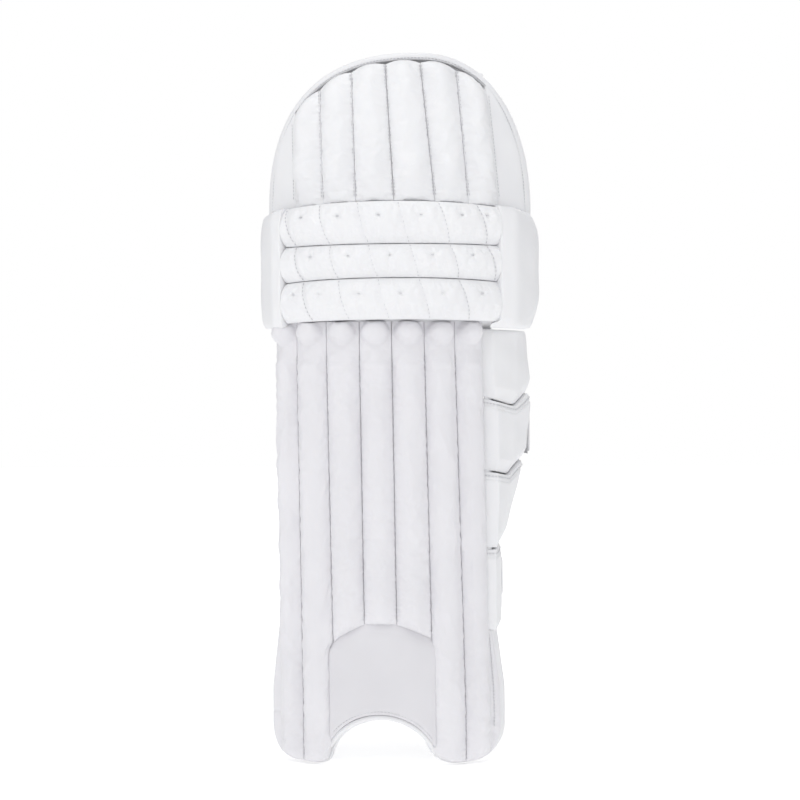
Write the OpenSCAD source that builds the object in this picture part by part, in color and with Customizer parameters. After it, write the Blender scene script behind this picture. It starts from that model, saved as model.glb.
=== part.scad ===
// Cricket batting leg pad, full size, in millimetres.
// The pad stands upright as worn: +Z up, the rolls face -Y, the outer side of
// the leg is +X. The origin is the middle of the box's foot.
// Four padded sections (shin, knee, top hat, outer wing) are sewn together at
// soft folds, and three straps close the back.

/* [Overall] */
// height of the whole pad
pad_h = 700; // [600:5:760]
// radius of the leg that the inner cushions hold
leg_r = 60; // [50:1:70]
// sewing gap left between neighbouring pieces
gap = 0.1; // [0.05:0.05:0.3]

/* [Shin] */
// height of the top of the shin rolls
shin_top = 430; // [380:5:460]
// radius of the curve that the shin rolls stand on
shin_arc = 145; // [120:1:170]
// angle from one shin roll to the next
shin_step = 13; // [11:0.5:15]
// half thickness of a shin roll
shin_roll_r = 16.3; // [12:0.1:18]
// radius of the cane inside a roll
cane_r = 5; // [3:0.5:8]
// radius of the arch cut over the instep
arch_r = 44; // [35:1:60]
// height of the top of the instep arch
arch_top = 46.5; // [20:1:70]
// width of the leather binding round the edges
binding_w = 6; // [3:0.5:10]

/* [Knee] */
// height of the lower edge of the knee section
knee_low = 438; // [400:1:470]
// heights of the three knee bars, lowest first
bar_h = [40, 33, 41];
// groove left between two knee bars
bar_groove = 1.5; // [0.5:0.5:4]
// radius of the front face of the knee bars
knee_front = 175; // [150:1:190]
// half angle of the knee bars
bar_half = 39.3; // [30:0.1:46]
// thickness of a knee bar
bar_t = 24; // [16:1:30]

/* [Top hat] */
// height of the lower edge of the top hat
hat_low = 557; // [520:1:590]
// angles of the seams between the top hat's rolls
hat_seam = [-41, -27.5, -14.2, 0, 14.9, 27.6, 40.3];
// heights of the crowns of the top hat's rolls
hat_crown = [648, 674, 687, 690, 687, 667];
// radius of the curve that the top hat's rolls stand on
hat_arc = 150; // [130:1:170]
// how far the left side of the outline stands from the apex
hat_left = 159; // [120:1:180]
// how far the right side of the outline stands from the apex
hat_right = 107; // [80:1:140]
// the apex, to the right of the pad's middle
hat_apex = 40; // [0:1:60]

/* [Outer wing] */
// lower edge of the wing
wing_low = 132; // [100:1:160]
// heights of the joins between the wing's blocks, lowest first
wing_joint = [210, 288, 360];
// upper edge of the wing
wing_top = 426; // [380:1:440]

/* [Straps] */
// width of a strap
strap_w = 38; // [25:1:50]
// thickness of a strap
strap_t = 2.2; // [1.5:0.1:4]
// how far a strap bows out behind the leg
strap_bow = 34; // [30:1:90]
// length of the grip tab at a strap's tip
tab_len = 38; // [30:1:60]
// lower edges of the ankle, calf and knee straps
strap_z = [158, 306, 470];

/* [Hidden] */
$fn = 96;
// middle of the box in plan, so that it lands on the origin
box_mid = [14.5, -43.1];
leg_y = -28;
shin_c = [0, 27];
knee_c = [11, 25];
hat_c = [16, 25];
shin_board = 135;
shin_half = 3.5 * shin_step;
hat_board = 142;
knee_board = knee_front - bar_t;
knee_top = knee_low + bar_h[0] + bar_h[1] + bar_h[2] + 2 * bar_groove;
hinge = [103, -68];
white = [0.93, 0.93, 0.94];
grey = [0.80, 0.80, 0.84];
pale = [0.87, 0.87, 0.90];
navy = [0.62, 0.63, 0.68];
black = [0.12, 0.12, 0.13];
cane = [0.80, 0.66, 0.42];
// each strap: its sewn root on the left, then the right face that it grips:
// the corner where it turns forward, and that face's lean in degrees
root = [[-107, 17], [-108, 17], [-113, 14]];
face = [[107.5, 35, 6.8], [134, 35, 10.5], [139, 30, 14.0]];
sides = ["left", "right"];
strap_name = ["ankle", "calf", "knee"];

// ---- helpers -------------------------------------------------------------

// a curved sheet about the point c, between two radii and two angles
// measured from straight ahead, right side positive
module shell(c, r0, r1, a0, a1, z0, z1)
  translate([c[0], c[1], z0]) rotate([0, 0, -90 + a0])
    rotate_extrude(angle = a1 - a0) translate([r0, 0]) square([r1 - r0, z1 - z0]);

// a front outline carried straight through the pad
module through() translate([0, 60, 0]) rotate([90, 0, 0]) linear_extrude(300) children();

// a band of flat shape between two heights
module slab(pts, z0, z1) translate([0, 0, z0]) linear_extrude(z1 - z0) polygon(pts);

// front outline of the foot: two lobes and the instep arch, drawn in by i; the
// sides lean in at the ankle, unless the outline runs on up the shin
function foot_side(z, top) = 118 - (top > 200 ? 0 : 8 * min(1, max(0, z - 70) / 61));
// the instep arch is two bends, [x, z, radius]: it runs out lower on the left
arch_bends = [[2, arch_top - arch_r, arch_r], [-6, arch_top - arch_r - 4.5, arch_r + 2]];
module arch(i) for (b = arch_bends) translate([b[0], b[1]]) circle(b[2] + i);
module foot_outline(i, top) {
  side_z = top > 131 ? [32, 70, 131, top] : [32, 70, top];
  difference() {
    union() {
      polygon([for (s = [-1, 1], z = s < 0 ? side_z : flip(side_z)) [s * (foot_side(z, top) - i), z]]);
      for (x = [-86, -68, 72, 86]) translate([x, 32]) circle(32 - i);
      translate([-86, i]) square([18, 40]);
      translate([72, i]) square([14, 40]);
    }
    arch(i);
    translate([-36, -40]) square([84, 40 + i]);
  }
}

// front outline of the top hat, drawn in by i
function hat_pt(t, i) =
  let (n = t < 90 ? 2.3 : 2.42, w = t < 90 ? hat_right : hat_left,
       c = cos(t), s = sin(t))
  [hat_apex + sign(c) * (w - i) * pow(abs(c), 2 / n),
   pad_h - 153 + (153 - i) * pow(s, 2 / n)];
module hat_outline(i, low) {
  base = [hat_pt(0, i), for (t = [7.5 : 7.5 : 172.5]) hat_pt(t, i), hat_pt(180, i)];
  polygon(concat([[base[0][0], low]], base, [[base[len(base) - 1][0], low]]));
}

// front outline of the smooth instep panel, drawn in by i
module instep_outline(i) difference() {
  polygon([[-48 + i, 28 + i], [-48 + i, 119], [-17, 138 - i], [22, 138 - i],
           [57 - i, 119], [57 - i, 28 + i]]);
  arch(7 + i);
}

// the side profile of a roll: a plain round crown, or a ball above a neck
function crown(r, z) = [for (t = [0 : 10 : 90]) [r * cos(t), z + r * sin(t)]];
function ball_side(r, z) = [for (t = [-60 : 15 : 90]) [(r - 11) + 11 * cos(t), z - 11 + 11 * sin(t)]];
function roll_side(r, z0, z1, ball) = concat(
  [[0, z0], [r, z0]],
  ball ? concat([[r, z1 - 27], [r - 1.4, z1 - 24.5], [r - 3.5, z1 - 23]], ball_side(r, z1), [[0, z1 + 0.2]])
       : crown(r, z1 - r));

// one upright roll, cut flat against the board behind it, hollow for its cane
module roll(c, arc, a, r, z0, z1, ball, board)
  difference() {
    translate([c[0] + arc * sin(a), c[1] - arc * cos(a), 0])
      rotate_extrude() difference() {
        polygon(roll_side(r, z0, z1, ball));
        translate([-1, z0 - 1]) square([cane_r + gap + 1, z1 - z0 - 24]);
      }
    translate([c[0], c[1], z0 - 5]) cylinder(r = board + gap, h = z1 - z0 + 10, $fn = 180);
  }

// ---- shin ----------------------------------------------------------------

function roll_low(i) = i >= 3 && i <= 5 ? 100 : 4;

module shin_roll(i) color(pale) {
  a = (i - 4) * shin_step;
  if (i >= 3 && i <= 5)
    difference() {
      roll(shin_c, shin_arc, a, shin_roll_r, 100, shin_top, true, shin_board);
      through() difference() {
        translate([-70, 60]) square([150, 79]);
        translate([-200, 60]) square([400, 1]);
        if (i == 3) polygon([[-80, 119.5], [-47.5, 119.5], [-17, 138.6], [-17, 200], [-80, 200]]);
        if (i == 5) polygon([[90, 119.5], [57, 119.5], [22, 138.6], [22, 200], [90, 200]]);
      }
    }
  else
    intersection() {
      roll(shin_c, shin_arc, a, shin_roll_r, 4, shin_top, true, shin_board);
      through() foot_outline(binding_w + 1, 440);
    }
}

module shin_canes() color(cane)
  for (i = [1 : 7]) {
    a = (i - 4) * shin_step;
    z0 = i >= 3 && i <= 5 ? 142 : 24;
    translate([shin_arc * sin(a), shin_c[1] - shin_arc * cos(a), z0])
      cylinder(r = cane_r, h = shin_top - 28 - z0);
  }

module shin_back_board() color(grey)
  intersection() {
    shell(shin_c, 129, shin_board, -64, 64, 0, shin_top + 5);
    through() union() {
      intersection() {
        foot_outline(binding_w + gap, 200);
        translate([-120, 0]) square([240, 131]);
      }
      translate([-97, 130]) square([194, 400]);
    }
  }

module shin_lining() color(grey)
  intersection() {
    shell(shin_c, 123, 129 - gap, -60, 60, 0, shin_top + 5);
    through() union() {
      intersection() {
        foot_outline(binding_w + gap, 200);
        translate([-120, 0]) square([240, 131]);
      }
      translate([-90, 130]) square([180, 400]);
    }
  }

// cushion beside the leg; its inner face is the true leg cylinder
module leg_cushion(side, r, z0, z1, c, back)
  difference() {
    intersection() {
      translate([0, leg_y, 0]) rotate([0, 0, side > 0 ? -70 : 190])
        rotate_extrude(angle = 60) translate([r, z0]) square([23, z1 - z0]);
      translate([c[0], c[1], z0 - 1]) cylinder(r = back - gap, h = z1 - z0 + 2, $fn = 180);
    }
  }

module shin_bolster_left() color(grey) leg_cushion(-1, leg_r, 150, 400, shin_c, 123);
module shin_bolster_right() color(grey) leg_cushion(1, leg_r, 150, 400, shin_c, 123);

module instep_foam() color(pale)
  intersection() {
    shell(shin_c, shin_board + gap, 151, -19.3, 19.3, 20, 140);
    through() instep_outline(2);
  }
module instep_patch() color(white)
  intersection() {
    shell(shin_c, 151 + gap, 154, -19.3, 19.3, 20, 140);
    through() instep_outline(0);
  }

module ankle_flap(s) color(white)
  intersection() {
    shell(shin_c, shin_board + gap, 147, s > 0 ? 46.8 : -64, s > 0 ? 64 : -46.8, 8, 131);
    through() foot_outline(binding_w + gap, 131);
  }

module bottom_binding() color(white)
  intersection() {
    shell(shin_c, 122, 140, -64, 64, 0, 131);
    through() difference() {
      foot_outline(0, 131);
      translate([0, 0.01]) foot_outline(binding_w, 140);
    }
  }

module inner_wing() color(pale) {
  slab([[-107, -75], [-111, -46], [-114, -14], [-114, 11], [-102, 11], [-104, -14],
        [-101, -44], [-98.2, -62]], 300, wing_top);
  slab([[-105.5, -74.5], [-106, -46], [-110, -14], [-112, 11], [-102, 11], [-100, -14],
        [-98.8, -44], [-98, -62]], 134, 300.01);
}

// ---- straps --------------------------------------------------------------

// a strap bows from its root to the corner, and is an arc of a circle
function strap_pr(k) = [face[k][0] + 3.6 * cos(face[k][2]) - 3 * sin(face[k][2]),
                        face[k][1] + 3.6 * sin(face[k][2]) + 3 * cos(face[k][2])];
function strap_half(k) = norm(strap_pr(k) - root[k]) / 2;
function strap_tilt(k) = let (d = strap_pr(k) - root[k]) atan2(d[1], d[0]);
function strap_rad(k) = (pow(strap_half(k), 2) + pow(strap_bow, 2)) / (2 * strap_bow);
function strap_ang(k) = asin(strap_half(k) / strap_rad(k));

module strap_band(k) color(navy) {
  trim = 2 / strap_rad(k) * 57.3;
  translate([root[k][0], root[k][1], strap_z[k]]) rotate([0, 0, strap_tilt(k)])
    translate([strap_half(k), strap_bow - strap_rad(k), 0])
      rotate([0, 0, 90 - strap_ang(k) + trim])
        rotate_extrude(angle = 2 * strap_ang(k) - 2 * trim, $fn = 240)
          translate([strap_rad(k) - strap_t / 2, 0]) square([strap_t, strap_w]);
}

// grip tab: a leather plate with a rounded hinge end and its hook patch
module strap_tab(k) color(navy)
  translate([face[k][0], face[k][1], strap_z[k]]) rotate([0, 0, face[k][2]]) {
    translate([3.6 - strap_t / 2, 3 - tab_len - 2]) cube([strap_t, tab_len + 2, strap_w]);
    translate([3.6, 3, 0]) cylinder(r = strap_t / 2, h = strap_w);
    translate([1.7, -tab_len + 4, 3]) cube([1, tab_len - 8, strap_w - 6]);
  }

// soft loop patch that the tab grips
module loop_patch(k) color(black)
  translate([face[k][0], face[k][1], strap_z[k]]) rotate([0, 0, face[k][2]])
    translate([gap, -tab_len, -3]) cube([1.1, tab_len - 3, strap_w + 6]);

// sewn root of the strap, on the rear edge of the inner side
module strap_anchor(k) color(white) {
  y = (k == 2 ? 8 : 11) + gap;
  translate([root[k][0] - 5, y, strap_z[k] - 3])
    cube([10, root[k][1] - 1.6 - y, strap_w + 6]);
}

// ---- knee ----------------------------------------------------------------

function bar_z(i) = knee_low + (i > 1 ? bar_h[0] + bar_groove : 0) + (i > 2 ? bar_h[1] + bar_groove : 0);

// a horizontal bar with round outer corners
module knee_bar(i) color(white) {
  h = bar_h[i - 1];
  r = 13;
  translate([knee_c[0], knee_c[1], bar_z(i)]) rotate([0, 0, -90 - bar_half])
    rotate_extrude(angle = 2 * bar_half, $fn = 180) translate([knee_board + gap, 0])
      difference() {
        union() {
          square([bar_t - r - gap, h]);
          translate([0, r]) square([bar_t - gap, h - 2 * r]);
          translate([bar_t - r - gap, r]) circle(r);
          translate([bar_t - r - gap, h - r]) circle(r);
        }
        translate([-r, -r]) square([r, h + 2 * r]);
      }
}

module knee_back_board() color(grey)
  shell(knee_c, knee_board - 6, knee_board, -bar_half, bar_half, knee_low, knee_top + 0.5);
module knee_foam() color(pale)
  shell(knee_c, 127, knee_board - 6 - gap, -41, 41, knee_low, knee_top + 0.5);
module knee_cup_lining() color(grey)
  shell(knee_c, 121, 127 - gap, -46, 46, knee_low, knee_top + 0.5);
module knee_cushion(s) color(grey) leg_cushion(s, leg_r + 3, 450, 542, knee_c, 121);

right_block = [[123, -108], [143, -82], [156, -46], [151, -18], [131, -18], [131, -42], [120, -66], [108.5, -90]];
left_block = [[-101, -108], [-118, -84], [-127, -50], [-125, -18], [-105, -18], [-106, -46], [-98, -68], [-86.5, -90]];
module knee_block_right() color(white)
  union() {
    intersection() {
      slab(right_block, 431, 549);
      through() {
        translate([60, 430]) square([76, 119]);
        translate([60, 438]) square([96, 91]);
        translate([136, 529]) circle(20);
        translate([60, 430]) square([88, 20]);
        translate([148, 438]) circle(8);
      }
    }
    slab([[151, -18.2], [139, 30], [121, 30], [131, -18.2]], 446, 536);
  }
module knee_block_left() color(white)
  union() {
    intersection() {
      slab(left_block, 431, 545);
      through() {
        translate([-114, 430]) square([80, 115]);
        translate([-127, 446]) square([80, 84]);
        translate([-112, 530]) circle(15);
        translate([-111, 446]) circle(16);
      }
    }
    slab([[-125, -18.2], [-120, 8], [-105, 8], [-105, -18.2]], 444, 536);
  }

// ---- top hat -------------------------------------------------------------

module hat_roll(i) color(white)
  roll(hat_c, hat_arc, (hat_seam[i - 1] + hat_seam[i]) / 2,
       hat_arc * sin((hat_seam[i] - hat_seam[i - 1]) / 2) - 0.15,
       hat_low, hat_crown[i - 1], false, hat_board);

module hat_canes() color(cane)
  for (i = [1 : 6]) {
    a = (hat_seam[i - 1] + hat_seam[i]) / 2;
    translate([hat_c[0] + hat_arc * sin(a), hat_c[1] - hat_arc * cos(a), hat_low + 4])
      cylinder(r = cane_r, h = hat_crown[i - 1] - 26 - hat_low - 4);
  }

module hat_back_board() color(grey)
  intersection() {
    shell(hat_c, 136, hat_board, -65, 61.5, hat_low, pad_h);
    through() hat_outline(binding_w + gap, hat_low - 5);
  }
module hat_lining() color(grey)
  intersection() {
    shell(hat_c, 130, 136 - gap, -65, 61.5, hat_low, pad_h);
    through() hat_outline(binding_w + gap, hat_low - 5);
  }
module hat_side_panel(s) color(white)
  intersection() {
    shell(hat_c, hat_board + gap, 152, s > 0 ? 47.3 : -65, s > 0 ? 61.5 : -48, hat_low, pad_h);
    through() hat_outline(binding_w + gap, hat_low - 5);
  }
module hat_binding() color(white)
  intersection() {
    shell(hat_c, 129, 146, -68.5, 66, hat_low, pad_h);
    through() difference() {
      hat_outline(0, hat_low - 5);
      hat_outline(binding_w, hat_low - 9);
    }
  }

// ---- outer wing ----------------------------------------------------------

// The wing's plan is a chain of four outer points and four inner ones, front
// to back. It flares wide at the calf (u = 1) and is slim at the ankle (u = 0).
wide_out = [[114, -79], [133, -53], [146, -30], [134, 35]];
wide_in = [[107, -66], [120, -46], [131, -26], [118, 34]];
slim_out = [[111, -79], [114, -62], [115.5, -32], [107.5, 35]];
slim_in = [[105, -65], [105, -54], [103.5, -30], [95, 34]];
inward_wide = [[-0.8, 0.6], [-0.8, 0.6], [-0.97, 0.1], [-1, -0.1]];
inward_slim = [[-1, 0], [-1, 0], [-1, 0], [-1, 0]];
flare_z = [wing_joint[0] + 0.6, wing_joint[1] - 0.6, wing_joint[1] + 14.6, wing_joint[2] - 5.6];
flare_u = [0, 0.68, 0.82, 1];
function flare(z) = lookup(z, [for (i = [0 : 3]) [flare_z[i], flare_u[i]]]);
function wing_in(z, d) = let (u = flare(z)) [for (i = [0 : 3])
  u * (wide_in[i] + d * inward_wide[i]) + (1 - u) * (slim_in[i] + d * inward_slim[i])];
function wing_out(z, e) = let (u = flare(z)) [for (i = [0 : 3])
  let (o = u * wide_out[i] + (1 - u) * slim_out[i], n = wing_in(z, 0)[i]) o + e * (n - o)];
function flip(l) = [for (i = [len(l) - 1 : -1 : 0]) l[i]];

// a solid skinned over rings of points, each ring [height, points]; a ring's
// points run along its outer side and back along its inner side
module skin(rings) {
  n = len(rings[0][1]);
  last = (len(rings) - 1) * n;
  pts = [for (r = rings) for (p = r[1]) [p[0], p[1], r[0]]];
  foot = [for (i = [0 : n / 2 - 2]) each [[i, i + 1, n - 2 - i], [i, n - 2 - i, n - 1 - i]]];
  head = [for (f = foot) [last + f[0], last + f[2], last + f[1]]];
  sides = [for (k = [0 : len(rings) - 2]) for (i = [0 : n - 1]) each
    let (a = k * n + i, b = k * n + (i + 1) % n, c = a + n, d = b + n)
    i < n / 2 ? [[a, c, b], [c, d, b]] : [[a, c, d], [a, d, b]]];
  polyhedron(pts, concat(foot, sides, head), convexity = 4);
}

wing_z = concat([wing_low], wing_joint, [wing_top]);
// a foam block, bevelled at its lower end where the next block tucks under
module wing_block(i) color(white) {
  z0 = wing_z[4 - i] + (i < 4 ? 0.6 : 0);
  z1 = wing_z[5 - i] - (i > 1 ? 0.6 : 0);
  skin([for (q = [[z0, 0.6], [z0 + 14, 0.04], [z1 - 5, 0], [z1, 0.2]])
    [q[0], concat(wing_out(q[0], q[1]), flip(wing_in(q[0], 0)))]]);
}
function wing_rings(e) = [wing_low + e, flare_z[0], flare_z[0] + 14, flare_z[1] - 5, flare_z[1],
  flare_z[1] + 1.2, flare_z[2], flare_z[3], wing_top - e];
module wing_backing() color(grey)
  skin([for (z = wing_rings(2))
    [z, concat(wing_in(z, gap), flip(wing_in(z, 4)))]]);
module wing_lining() color(grey)
  skin([for (z = wing_rings(3)) let (o = wing_in(z, 4 + gap), n = wing_in(z, 9))
    [z, [o[1], o[2], o[3], n[3], n[2], n[1]]]]);

// ---- assembly ------------------------------------------------------------

module place() translate([-box_mid[0], -box_mid[1], 0]) children();

for (i = [1 : 7]) place() shin_roll(i);
place() shin_canes();
place() shin_back_board();
place() shin_lining();
place() shin_bolster_left();
place() shin_bolster_right();
place() instep_foam();
place() instep_patch();
place() ankle_flap(-1);  // ankle_flap_left
place() ankle_flap(1);  // ankle_flap_right
place() bottom_binding();
place() inner_wing();
place() strap_anchor(0);  // ankle_anchor
place() strap_anchor(1);  // calf_anchor
for (i = [1 : 3]) place() knee_bar(i);
place() knee_back_board();
place() knee_foam();
place() knee_cup_lining();
place() knee_cushion(-1);  // knee_cushion_left
place() knee_cushion(1);  // knee_cushion_right
place() knee_block_left();
place() knee_block_right();
place() strap_anchor(2);  // knee_anchor
place() loop_patch(2);  // knee_loop_patch
for (i = [1 : 6]) place() hat_roll(i);
place() hat_canes();
place() hat_back_board();
place() hat_lining();
place() hat_side_panel(-1);  // hat_side_panel_left
place() hat_side_panel(1);  // hat_side_panel_right
place() hat_binding();
for (i = [1 : 4]) place() wing_block(i);
place() wing_backing();
place() wing_lining();
place() loop_patch(0);  // ankle_loop_patch
place() loop_patch(1);  // calf_loop_patch
for (k = [0 : 2]) place() strap_band(k);
for (k = [0 : 2]) place() strap_tab(k);
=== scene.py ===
"""Cricket batting leg pad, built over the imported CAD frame. Lengths are
millimetres and angles are degrees, in the design's own plan. put() turns a
place in that plan into the shared frame's metres."""
from math import asin, atan2, cos, pi, radians, sin, tan

import bpy
import numpy as np
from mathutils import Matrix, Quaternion, Vector

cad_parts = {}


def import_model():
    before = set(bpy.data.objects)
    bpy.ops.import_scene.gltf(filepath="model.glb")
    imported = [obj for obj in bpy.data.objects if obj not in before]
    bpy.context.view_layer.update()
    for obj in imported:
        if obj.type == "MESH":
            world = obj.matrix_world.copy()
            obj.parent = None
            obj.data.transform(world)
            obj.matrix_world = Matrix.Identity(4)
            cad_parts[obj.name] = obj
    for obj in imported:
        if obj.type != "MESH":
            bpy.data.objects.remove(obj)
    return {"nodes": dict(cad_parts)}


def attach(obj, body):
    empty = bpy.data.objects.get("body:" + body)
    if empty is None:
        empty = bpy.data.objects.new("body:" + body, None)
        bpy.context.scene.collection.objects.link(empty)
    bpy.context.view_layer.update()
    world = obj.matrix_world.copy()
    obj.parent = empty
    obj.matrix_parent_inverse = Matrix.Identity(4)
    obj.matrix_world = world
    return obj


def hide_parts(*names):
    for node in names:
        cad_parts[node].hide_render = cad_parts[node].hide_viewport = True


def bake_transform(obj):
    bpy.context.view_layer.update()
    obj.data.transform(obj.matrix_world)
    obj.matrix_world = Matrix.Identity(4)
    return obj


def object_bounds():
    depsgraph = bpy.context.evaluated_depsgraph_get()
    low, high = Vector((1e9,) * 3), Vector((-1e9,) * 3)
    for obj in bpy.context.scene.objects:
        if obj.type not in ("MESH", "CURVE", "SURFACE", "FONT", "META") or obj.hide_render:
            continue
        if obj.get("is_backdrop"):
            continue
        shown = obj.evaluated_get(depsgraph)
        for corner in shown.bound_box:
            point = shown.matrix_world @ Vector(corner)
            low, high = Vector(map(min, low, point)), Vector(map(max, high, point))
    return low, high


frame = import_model()
CAD_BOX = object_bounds()
# where the shared frame's origin lies in the design's plan
MID = np.array([14.5, -43.1, 0.0])
# the axes, in plan, that the three sections are curved about
SHIN, KNEE, HAT = (0.0, 27.0), (11.0, 25.0), (16.0, 25.0)
# the middle, in plan, of the channel for the leg
LEG = (0.0, -28.0)


# ---- camera, floor, light -------------------------------------------------
def put(p):
    return (np.asarray(p, float) - MID) / 1000.0


def camera():
    """The camera stands a little to the right of straight ahead."""
    data = bpy.data.cameras.new("camera")
    cam = bpy.data.objects.new("camera", data)
    bpy.context.collection.objects.link(cam)
    az, el, dist = radians(4.5), radians(1.0), 2.15
    back = Vector((sin(az) * cos(el), -cos(az) * cos(el), sin(el)))
    target = Vector(put([18.3, -100, 361]))
    cam.location = target + back * dist
    cam.rotation_mode = "QUATERNION"
    cam.rotation_quaternion = back.to_track_quat("Z", "Y") @ Quaternion((0, 0, 1), radians(-0.4))
    data.lens = 98.0
    data.sensor_width = 36.0
    data.clip_start = 0.05
    bpy.context.scene.camera = cam


def light(name, loc, target, size, power):
    """A square soft light of a size in metres and a power in watts."""
    data = bpy.data.lights.new(name, "AREA")
    data.shape = "RECTANGLE"
    data.size, data.size_y, data.energy = size, size, power
    ob = bpy.data.objects.new(name, data)
    bpy.context.collection.objects.link(ob)
    ob.location = loc
    ob.rotation_euler = (Vector(loc) - Vector(target)).to_track_quat("Z", "Y").to_euler()


def world():
    """White behind the object, and a cooler fill on it."""
    w = bpy.data.worlds.new("studio")
    bpy.context.scene.world = w
    w.use_nodes = True
    t = w.node_tree
    t.nodes.clear()
    out = t.nodes.new("ShaderNodeOutputWorld")
    seen, fill = t.nodes.new("ShaderNodeBackground"), t.nodes.new("ShaderNodeBackground")
    seen.inputs[0].default_value = (1, 1, 1, 1)
    fill.inputs[0].default_value = (0.97, 0.98, 1, 1)
    fill.inputs[1].default_value = 0.5
    mix, path = t.nodes.new("ShaderNodeMixShader"), t.nodes.new("ShaderNodeLightPath")
    t.links.new(path.outputs["Is Camera Ray"], mix.inputs[0])
    t.links.new(fill.outputs[0], mix.inputs[1])
    t.links.new(seen.outputs[0], mix.inputs[2])
    t.links.new(mix.outputs[0], out.inputs[0])


# ---- materials ------------------------------------------------------------
class Nodes:
    """A short way to write a material's node tree."""

    def __init__(self, name):
        self.m = bpy.data.materials.new(name)
        self.m.use_nodes = True
        self.t = self.m.node_tree
        self.t.nodes.clear()
        self.out = self.t.nodes.new("ShaderNodeOutputMaterial")
        self.b = self.t.nodes.new("ShaderNodeBsdfPrincipled")
        self.t.links.new(self.b.outputs[0], self.out.inputs[0])
        self.co = self.t.nodes.new("ShaderNodeTexCoord").outputs["Object"]

    def node(self, kind, ins=(), **props):
        n = self.t.nodes.new(kind)
        for k, v in props.items():
            setattr(n, k, v)
        for k, v in dict(ins).items():
            if hasattr(v, "is_output"):
                self.t.links.new(v, n.inputs[k])
            else:
                n.inputs[k].default_value = v
        return n.outputs

    def noise(self, scale, detail=3.0, rough=0.5):
        ins = {"Vector": self.co, "Scale": scale, "Detail": detail, "Roughness": rough}
        return self.node("ShaderNodeTexNoise", ins)[0]

    def ramp(self, fac, stops):
        n = self.t.nodes.new("ShaderNodeValToRGB")
        self.t.links.new(fac, n.inputs[0])
        el = n.color_ramp.elements
        while len(el) < len(stops):
            el.new(0.5)
        for e, (p, c) in zip(el, stops):
            e.position, e.color = p, c if len(c) == 4 else (*c, 1)
        return n.outputs[0]

    def math(self, op, a, b=0.0):
        return self.node("ShaderNodeMath", {0: a, 1: b}, operation=op)[0]

    def bump(self, *layers):
        """Relief from layers of (height, strength, distance in metres)."""
        last = None
        for h, strength, dist in layers:
            ins = {"Height": h, "Strength": strength, "Distance": dist}
            if last is not None:
                ins["Normal"] = last
            last = self.node("ShaderNodeBump", ins)[0]
        self.t.links.new(last, self.b.inputs["Normal"])

    def set(self, **kw):
        for k, v in kw.items():
            s = self.b.inputs[k.replace("_", " ")]
            if hasattr(v, "is_output"):
                self.t.links.new(v, s)
            else:
                s.default_value = v
        return self


def leather(name, low, high, rough=0.46, grain=1.0):
    """Grained leather whose colour drifts from low to high."""
    n = Nodes(name)
    soft = n.noise(14, 3)
    cells = n.node("ShaderNodeTexVoronoi", {"Vector": n.co, "Scale": 620.0}, feature="DISTANCE_TO_EDGE")[0]
    pores = n.ramp(cells, [(0.0, (0, 0, 0)), (0.14, (1, 1, 1))])
    fine = n.noise(1500, 2)
    crease = n.noise(75, 4, 0.62)
    n.set(Base_Color=n.ramp(soft, [(0.3, low), (0.7, high)]),
          Roughness=n.ramp(n.noise(45, 4), [(0.3, (rough - 0.06,) * 3), (0.7, (rough + 0.08,) * 3)]),
          Subsurface_Weight=0.06, Subsurface_Radius=(0.004, 0.0035, 0.003), Subsurface_Scale=0.5,
          Specular_IOR_Level=0.42, Coat_Weight=0.06, Coat_Roughness=0.35)
    n.bump((crease, 0.16, 0.0012), (pores, 0.10 * grain, 0.00022), (fine, 0.10 * grain, 0.00015))
    return n.m


def cloth_mat(name, low, high, pitch=0.0011, depth=0.5, rough=0.9, pile=0.0):
    """Woven cloth with threads at a pitch in metres. pile adds a nap."""
    slant = 0.73
    n = Nodes(name)
    sep = n.node("ShaderNodeSeparateXYZ", {0: n.co})
    k = 2 * pi / pitch
    along_x = n.math("ADD", sep[0], n.math("MULTIPLY", sep[1], slant))
    across = n.math("SINE", n.math("MULTIPLY", along_x, k))
    up = n.math("SINE", n.math("MULTIPLY", sep[2], k))
    weave = n.math("MULTIPLY", across, up)
    fuzz = n.noise(2600, 3)
    tone = n.math("ADD", n.math("MULTIPLY", weave, 0.16), n.noise(30, 5))
    n.set(Base_Color=n.ramp(tone, [(0.25, low), (0.75, high)]),
          Roughness=rough, Sheen_Weight=0.25, Sheen_Roughness=0.5, Specular_IOR_Level=0.2)
    n.bump((weave, depth, 0.00035), (fuzz, 0.35 + pile, 0.0003 + 0.0006 * pile))
    return n.m


def floor_paint():
    """Pale paint with a weak glow, and for the camera alone one that grows
    with the distance, so that the floor fades into the white behind it."""
    n = Nodes("floor_paint")
    far = n.node("ShaderNodeVectorMath", {0: n.co}, operation="LENGTH")["Value"]
    span = {"Value": far, "From Min": 0.1, "From Max": 1.6, "To Min": 0.1, "To Max": 0.6}
    seen = n.node("ShaderNodeLightPath")["Is Camera Ray"]
    glow = n.math("MULTIPLY", n.node("ShaderNodeMapRange", span)[0], seen)
    n.set(Base_Color=n.ramp(n.noise(3, 4), [(0.3, (0.84, 0.84, 0.84)), (0.7, (0.86, 0.86, 0.86))]),
          Roughness=0.8, Emission_Color=(1, 1, 1, 1), Emission_Strength=n.math("ADD", glow, 0.35))
    return n.m


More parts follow.
